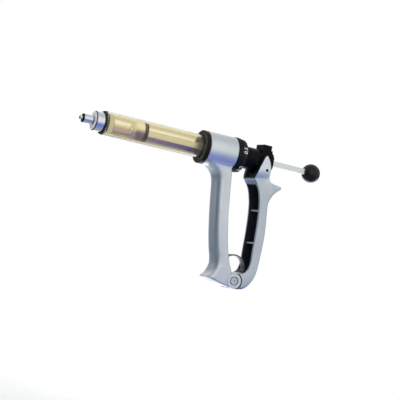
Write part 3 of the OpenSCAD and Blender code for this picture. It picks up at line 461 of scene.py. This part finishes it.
# castings as smooth skins over the CAD solids
grip = {"smooth": 34, "low": -118, "high": -9, "collarLow": -20, "collarX": (150.5, 174.5), "inner": 9,
        "front": -0.3, "side": 0.35, "cuts": 2, "passes": 40, "footTop": -110}
gripSkin = smoothCopy("body_casting", "gripSkin", grip["smooth"])
bpy.ops.object.mode_set(mode="EDIT")
bpy.ops.mesh.select_mode(type="FACE")
bpy.ops.mesh.select_all(action="DESELECT")
bpy.ops.object.mode_set(mode="OBJECT")
for face in gripSkin.data.polygons:  # front and sides of the grip, up into the collar's underside
    corners = [gripSkin.data.vertices[v].co / mm for v in face.vertices]
    onGrip = all(grip["low"] < c.z < grip["high"] for c in corners)
    clear = all(c.z < grip["collarLow"] or grip["collarX"][0] < c.x < grip["collarX"][1] for c in corners)
    beside = face.normal.x < grip["side"] and abs(face.center.y / mm) > grip["inner"]
    face.select = onGrip and clear and (face.normal.x < grip["front"] or beside)
bpy.ops.object.mode_set(mode="EDIT")
bpy.ops.mesh.subdivide(number_cuts=grip["cuts"])
bpy.ops.mesh.select_mode(type="VERT")
bpy.ops.mesh.select_less()
bpy.ops.mesh.vertices_smooth(factor=0.5, repeat=grip["passes"])
bpy.ops.mesh.mark_sharp(clear=True)
bpy.ops.object.mode_set(mode="OBJECT")
foot = gripSkin.vertex_groups.new(name="foot")
foot.add([v.index for v in gripSkin.data.vertices if v.co.z / mm < grip["footTop"]], 1, "ADD")
evened = gripSkin.modifiers.new("even", "WEIGHTED_NORMAL")
evened.keep_sharp = True
evened.vertex_group = "foot"
bpy.ops.object.modifier_apply(modifier="even")
print("grip: %d faces" % len(gripSkin.data.polygons))
settle(gripSkin, "gripSkin", "body", "silver_casting", silver)
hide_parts("body_casting")

lever = {"smooth": 34, "innerHalf": 10.36, "roof": -25.4, "floor": -119.1, "shelf": -19.6, "ribs": (-52, -86),
         "ribHalf": 0.9, "square": 0.9, "sloped": 0.5, "leaning": 0.3}
leverSkin = smoothCopy("rear_lever", "leverSkin", lever["smooth"])
settle(leverSkin, "leverSkin", "lever", "silver_casting", silverLever, channelDark, silverShade)
for face in leverSkin.data.polygons:
    centre = face.center / mm
    forward = -face.normal.x
    across = abs(face.normal.y) > lever["square"]
    inChannel = lever["floor"] < centre.z < lever["roof"] and forward > -lever["leaning"] and (
        across or forward > lever["leaning"])
    onRib = min(abs(centre.z - rib) for rib in lever["ribs"]) < lever["ribHalf"]
    ribFront = onRib and forward > lever["square"]
    betweenEars = centre.z > lever["shelf"] and (across or face.normal.z > lever["square"])
    # painted shade in the channel and between the ears, but not on the ribs' front edges
    if abs(centre.y) < lever["innerHalf"] and (betweenEars or inChannel and not ribFront):
        face.material_index = 1
    elif centre.z > lever["roof"] and forward > lever["sloped"]:  # fronts of the ears and the shelf: painted shade, with a painted blue reflection on the shelf
        face.material_index = 2
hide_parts("rear_lever")
print("castings: skinned")


# steel strip under the lever: up the front leg, over the bow, down the back leg
bow = {"at": (197.1, -115.4), "outer": 14.1, "thick": 1.5, "wide": 8, "front": -121, "back": -117.72,
       "round": 0.22, "sharp": 60, "smooth": 35, "steps": 40}
bowX, bowZ = bow["at"]
bpy.ops.object.select_all(action="DESELECT")
bpy.ops.mesh.primitive_plane_add(
    size=1, location=((bowX - bow["outer"] + bow["thick"] / 2) * mm, 0, bow["front"] * mm))
leverStrip = bpy.context.object
leverStrip.scale = (bow["thick"] * mm, bow["wide"] * mm, 1)
applyPlace(leverStrip)
bpy.ops.object.mode_set(mode="EDIT")
bpy.ops.mesh.select_all(action="SELECT")
bpy.ops.mesh.extrude_region_move(
    TRANSFORM_OT_translate={"value": (0, 0, (bowZ - bow["front"]) * mm)})
bpy.ops.mesh.spin(steps=bow["steps"], angle=-math.pi, center=(bowX * mm, 0, bowZ * mm), axis=(0, 1, 0))
bpy.ops.mesh.extrude_region_move(
    TRANSFORM_OT_translate={"value": (0, 0, (bow["back"] - bowZ) * mm)})
weldOutward()
rounded = leverStrip.modifiers.new("round", "BEVEL")
rounded.width = bow["round"] * mm
rounded.segments = 2
rounded.limit_method = "ANGLE"
rounded.angle_limit = math.radians(bow["sharp"])
bpy.ops.object.modifier_apply(modifier="round")
bpy.ops.object.shade_smooth_by_angle(angle=math.radians(bow["smooth"]))
leverStrip.name = "leverStrip"
paint(leverStrip, springSteel)
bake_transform(leverStrip)
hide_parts("lever_spring")
print("strip: bent")


def loopOf(outline):
    # a closed line through points in the XZ plane
    bpy.ops.object.select_all(action="DESELECT")
    bpy.ops.mesh.primitive_circle_add(vertices=len(outline), radius=0.01)
    piece = bpy.context.object
    for point, (x, z) in zip(piece.data.vertices, outline):
        point.co = Vector((x, 0, z)) * mm
    pick(piece)
    return piece


# amber tube, turned from the solid's own profile with more sides
tube = {"profile": [(25.6, 10), (25.6, 11.8), (26, 12.2), (144.8, 12.2),
                    (144.8, 14), (147.8, 14), (147.8, 10)],
        "sides": 192, "smooth": 30}
amberTube = loopOf(tube["profile"])
bpy.ops.object.mode_set(mode="EDIT")
bpy.ops.mesh.select_all(action="SELECT")
bpy.ops.mesh.spin(steps=tube["sides"], angle=2 * math.pi, center=(0, 0, 0), axis=(1, 0, 0))
weldOutward()
bpy.ops.object.shade_smooth_by_angle(angle=math.radians(tube["smooth"]))
settle(amberTube, "amberTube", "body", "amber_barrel", amber)
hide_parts("barrel_tube")
print("tube: turned")


def sweepRound(outline, axis, turns, rise, steps, smooth=40):
    # an outline swept along a screw line, with its ends filled
    piece = loopOf(outline)
    swept = piece.modifiers.new("sweep", "SCREW")
    swept.axis = axis
    swept.angle = 2 * math.pi * turns
    swept.screw_offset = rise * mm
    swept.steps = steps
    swept.render_steps = steps
    bpy.ops.object.modifier_apply(modifier="sweep")
    bpy.ops.object.mode_set(mode="EDIT")
    bpy.ops.mesh.select_all(action="SELECT")
    bpy.ops.mesh.fill_holes(sides=0)
    bpy.ops.mesh.select_all(action="SELECT")
    bpy.ops.mesh.normals_make_consistent(inside=False)
    bpy.ops.object.mode_set(mode="OBJECT")
    bpy.ops.object.shade_smooth_by_angle(angle=math.radians(smooth))
    return piece


# two-start thread inside the lock collar
thread = {"outline": [(3.5, 3.98), (3.95, 3.4), (4.35, 3.4), (4.8, 3.98)],
          "lead": 5, "turns": 1.05, "starts": 2, "steps": 96}
for start in range(thread["starts"]):
    ridge = sweepRound(
        thread["outline"], "X", thread["turns"], thread["lead"] * thread["turns"], thread["steps"])
    bpy.ops.object.mode_set(mode="EDIT")
    bpy.ops.mesh.select_all(action="SELECT")
    bpy.ops.transform.rotate(
        value=2 * math.pi * start / thread["starts"], orient_axis="X", center_override=(0, 0, 0))
    bpy.ops.object.mode_set(mode="OBJECT")
    settle(ridge, "luerThread%d" % (start + 1), "body", "bright_metal", chrome)
print("thread: %d starts" % thread["starts"])


# round wire coil under the button, pressed together by it
coil = {"at": 210.8, "radius": 1.7, "wire": 0.3, "seat": 5.5, "top": 10, "turns": 4,
        "sides": 12, "steps": 128, "keep": 0.64}
wire = []
for side in range(coil["sides"]):
    angle = 2 * math.pi * side / coil["sides"]
    wire.append((coil["radius"] + coil["wire"] * math.cos(angle),
                 coil["seat"] + coil["wire"] * (1 + math.sin(angle))))
pawlCoil = sweepRound(
    wire, "Z", coil["turns"], coil["top"] - coil["seat"] - 2 * coil["wire"], coil["steps"])
pawlCoil.location.x = coil["at"] * mm
settle(pawlCoil, "pawlCoil", "carriage", "steel", steel)
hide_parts("pawl_spring")
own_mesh(pawlCoil)
print("coil: %d turns" % coil["turns"])


# white numbers round the dial's cone, reading upwards on the near side; made at 1 unit to the mm
numbers = {"values": ["2.5", "0.5", "1.0", "1.5", "2.0"], "size": 6.2, "middle": 180.55, "raise": 0.1,
           "coneStart": 177.7, "coneRadius": 17.4, "coneFall": 1 / 5.2, "weld": 0.0001}
for index, value in enumerate(numbers["values"]):
    bpy.ops.object.select_all(action="DESELECT")
    bpy.ops.object.text_add()
    number = bpy.context.object
    number.data.body = value
    number.data.size = numbers["size"]
    number.data.align_x = "CENTER"
    number.data.align_y = "CENTER"
    number.data.extrude = numbers["raise"]
    number.data.resolution_u = 4
    pick(number)
    bpy.ops.object.convert(target="MESH")
    bpy.ops.object.mode_set(mode="EDIT")
    bpy.ops.mesh.select_all(action="SELECT")
    bpy.ops.mesh.remove_doubles(threshold=numbers["weld"])
    bpy.ops.object.mode_set(mode="OBJECT")
    turned = 2 * math.pi * index / len(numbers["values"])
    for point in number.data.vertices:
        along = numbers["middle"] - point.co.y
        radius = numbers["coneRadius"] - (along - numbers["coneStart"]) * numbers["coneFall"]
        angle = turned - point.co.x / radius
        out = radius + point.co.z
        point.co = Vector((along, -out * math.sin(angle), out * math.cos(angle))) * mm
    settle(number, "number" + value.replace(".", "_"), "dial", "black_plastic", numberWhite)
print("numbers: %d" % len(numbers["values"]))


# dark paint in the dose mark on the collar
doseMark = {"from": 168.3, "to": 171.9, "half": 0.36, "low": 17.05, "high": 17.3, "round": 0.08}
bpy.ops.object.select_all(action="DESELECT")
bpy.ops.mesh.primitive_cube_add(size=1, location=(
    (doseMark["from"] + doseMark["to"]) / 2 * mm, 0, (doseMark["low"] + doseMark["high"]) / 2 * mm))
mark = bpy.context.object
mark.scale = ((doseMark["to"] - doseMark["from"]) * mm, 2 * doseMark["half"] * mm,
              (doseMark["high"] - doseMark["low"]) * mm)
applyPlace(mark)
bpy.ops.object.mode_set(mode="EDIT")
bpy.ops.mesh.select_all(action="SELECT")
bpy.ops.mesh.bevel(offset=doseMark["round"] * mm, segments=2)
bpy.ops.object.mode_set(mode="OBJECT")
settle(mark, "doseMark", "body", "black_plastic", blackPlastic)
print("dose mark: painted")


# lamps, and cards for the metal to reflect, all turned to the middle of the part
studio = {
    "aim": (0.15, 0, -0.05),
    "lamps": {
        "keyLamp": {"at": (0.5, -1.2, 1.5), "size": 1.6, "power": 22},
        "fillLamp": {"at": (-1.3, -0.7, 0.9), "size": 1.4, "power": 8},
        "backLamp": {"at": (0.3, 1.3, 1.0), "size": 1.4, "power": 10},
    },
    "cards": {
        "sideCard": {"at": (-0.75, -0.42, 0), "wide": 1.1, "tall": 1.2, "tone": rgb(0, 0.015, 0.04),
                     "near": rgb(0.5, 0.54, 0.58), "fade": (0, -0.92)},
        "leftCard": {"at": (-0.73, 0.45, 0), "wide": 0.85, "tall": 1.2, "tone": rgb(0.4, 0.45, 0.51),
                     "near": rgb(0, 0.015, 0.04), "fade": (0.6, 0.2)},
        "nearCard": {"at": (-0.04, -0.98, 0), "wide": 0.3, "tall": 1.2, "tone": rgb(1.4, 1.42, 1.43)},
        "backCard": {"at": (-0.26, 1.15, 0.05), "wide": 0.66, "tall": 1.0, "tone": rgb(0.26, 0.31, 0.39)},
        "rightCard": {"at": (1.05, 0.4, 0), "wide": 0.9, "tall": 1.2, "tone": rgb(0.12, 0.16, 0.22)},
        "topCard": {"at": (0.15, -0.1, 1.3), "wide": 2.6, "tall": 1.9, "tone": rgb(0.66, 0.7, 0.72)},
    },
}


def towardsPart(at, front):
    return (Vector(studio["aim"]) - Vector(at)).to_track_quat(front, "Y").to_euler()


for name, lamp in studio["lamps"].items():
    bpy.ops.object.light_add(type="AREA", location=lamp["at"])
    light = bpy.context.object
    light.name = name
    light.rotation_euler = towardsPart(lamp["at"], "-Z")
    light.data.size = lamp["size"]
    light.data.energy = lamp["power"]
    light.visible_glossy = False
    light.visible_transmission = False


def glowing(name):
    return Finish(name, Base_Color=black, Roughness=1, Specular_IOR_Level=0, Emission_Strength=1)


def disc(name, radius, height, sides):
    bpy.ops.object.select_all(action="DESELECT")
    bpy.ops.mesh.primitive_circle_add(
        vertices=sides, radius=radius, fill_type="NGON", location=(studio["aim"][0], 0, height))
    made = bpy.context.object
    made.name = name
    applyPlace(made)
    return made


def board(name, at, rotation, wide, high):
    bpy.ops.object.select_all(action="DESELECT")
    bpy.ops.mesh.primitive_plane_add(size=1, location=at, rotation=rotation)
    made = bpy.context.object
    made.name = name
    made.scale = (wide, high, 1)
    applyPlace(made)
    return made


def reflectOnly(card):
    card.visible_camera = False
    card.visible_diffuse = False
    card.visible_shadow = False
    card.visible_transmission = False


# card under the part: a blue patch to the right, grey round it and pale behind
under = {"low": -0.26, "radius": 2.6, "patch": (0.34, -0.26), "long": 0.7, "edge": (0.035, 0.09),
         "blue": rgb(0.2, 0.27, 0.78), "navy": rgb(0.02, 0.04, 0.3), "navyFrom": (-0.14, 0.02),
         "left": rgb(0.1, 0.15, 0.21), "right": rgb(0.6, 0.67, 0.73), "rightFrom": (-0.15, 0.25),
         "behind": rgb(1.9, 1.92, 2), "behindY": (0.02, 0.12), "behindX": (0.18, 0.26)}
underCard = disc("underCard", under["radius"], under["low"], 64)
cardBlue = glowing("cardBlue")
cardX, cardY, cardZ = cardBlue.axes()
patchX = cardX - under["patch"][0]
patchY = (cardY - under["patch"][1]) * under["long"]
patch = cardBlue.mix(cardBlue.span(cardY, 0, 1, *under["navyFrom"]), under["blue"], under["navy"])
outside = cardBlue.span(patchX * patchX + patchY * patchY, 0, 1, *under["edge"])
grey = cardBlue.mix(cardBlue.span(cardX, 0, 1, *under["rightFrom"]), under["left"], under["right"])
beyond = cardBlue.span(cardY, 0, 1, *under["behindY"]) * cardBlue.span(cardX, 0, 1, *under["behindX"])
grey = cardBlue.mix(beyond, grey, under["behind"])
cardBlue.feed("Emission Color", cardBlue.mix(outside, patch, grey))
paint(underCard, cardBlue)
reflectOnly(underCard)

for name, card in studio["cards"].items():
    standing = board(name, card["at"], towardsPart(card["at"], "Z"), card["wide"], card["tall"])
    cardTone = glowing(name)
    shade = card["tone"]
    if "near" in card:  # another tone towards the viewer
        nearer = cardTone.span(cardTone.axes()[1], 0, 1, *card["fade"])
        shade = cardTone.mix(nearer, shade, card["near"])
    cardTone.feed("Emission Color", shade)
    paint(standing, cardTone)
    reflectOnly(standing)

# graded card behind the barrel, seen only through it: painted light and shade for the barrel, a bright band
# as its highlight, dark and violet bands under the rod as its shadow and a violet reflection
backdrop = {"at": (0.1, 0.03, -0.0055), "long": 0.145, "low": -0.031, "high": 0.02,
            "turn": 0.071, "turnBlur": 0.004, "deep": 0.13, "band": (-0.0102, 0.0001), "bandBlur": 0.0006,
            "behind": rgb(0.22, 0.15, 0.66), "end": rgb(0.02, 0, 0.4),
            "stops": [(-0.0135, rgb(0.36, 0.35, 0.4)), (-0.0115, rgb(0.5, 0.48, 0.44)),
                      (-0.0072, rgb(0.2, 0.14, 0.14)), (-0.0021, rgb(0.54, 0.45, 0.95)),
                      (0.0021, rgb(0.55, 0.48, 0.33)), (0.0095, rgb(1.32, 1.42, 2)),
                      (0.0147, rgb(0.84, 0.8, 0.7)), (0.0186, rgb(0.74, 0.7, 0.5))]}
tall = backdrop["high"] - backdrop["low"]
stripCard = board("stripCard", backdrop["at"], (math.radians(90), 0, 0), backdrop["long"], tall)
violet = glowing("stripCard")
stripX, stripY, stripZ = violet.axes()
stops = [((z - backdrop["low"]) / tall, colour) for z, colour in backdrop["stops"]]
height = violet.span(stripZ, 0, 1, backdrop["low"], backdrop["high"])
graded = violet.node("ShaderNodeValToRGB", {"stops": stops}, {0: height})
# past the piston, a deeper violet band under the rod: painted shadow of the rod
deeper = violet.mix(
    violet.span(stripX, 0, 1, backdrop["turn"], backdrop["deep"]), backdrop["behind"], backdrop["end"])
bandLow, bandHigh = backdrop["band"]
blur = backdrop["bandBlur"]
inBand = violet.between(stripZ, bandLow + blur, bandHigh - blur, 2 * blur)
pastTurn = violet.span(
    stripX, 0, 1, backdrop["turn"] - backdrop["turnBlur"], backdrop["turn"] + backdrop["turnBlur"])
violet.feed("Emission Color", violet.mix(inBand * pastTurn, graded, deeper))
paint(stripCard, violet)
reflectOnly(stripCard)
stripCard.visible_glossy = False
stripCard.visible_transmission = True

# white world where it is seen, softer where it lights the part
skyLight = {"lighting": 0.5, "seen": 1}
world = bpy.data.worlds.new("studioWorld")
bpy.context.scene.world = world
world.use_nodes = True
sky = world.node_tree
glow = sky.nodes["Background"]
path = sky.nodes.new("ShaderNodeLightPath")
seen = path.outputs["Is Camera Ray"]
for ray in ("Is Glossy Ray", "Is Transmission Ray"):
    either = sky.nodes.new("ShaderNodeMath")
    either.operation = "MAXIMUM"
    sky.links.new(seen, either.inputs[0])
    sky.links.new(path.outputs[ray], either.inputs[1])
    seen = either.outputs[0]
level = sky.nodes.new("ShaderNodeMapRange")
level.inputs["To Min"].default_value = skyLight["lighting"]
level.inputs["To Max"].default_value = skyLight["seen"]
sky.links.new(seen, level.inputs["Value"])
glow.inputs["Color"].default_value = rgb(1, 1, 1)
sky.links.new(level.outputs[0], glow.inputs["Strength"])

# pale floor that fades into the white
ground = {"low": -0.3, "radius": 1, "fade": (0.25, 0.6), "tone": rgb(0.9, 0.9, 0.9)}
floor = disc("floor", ground["radius"], ground["low"], 96)
floorPale = Finish("floorPale", Base_Color=ground["tone"], Roughness=0.9)
floorX, floorY, floorZ = floorPale.axes()
spread = floorPale.length(floorX - studio["aim"][0], floorY)
floorPale.feed("Alpha", floorPale.span(spread, 1, 0, *ground["fade"]))
paint(floor, floorPale)
print("studio: lit")
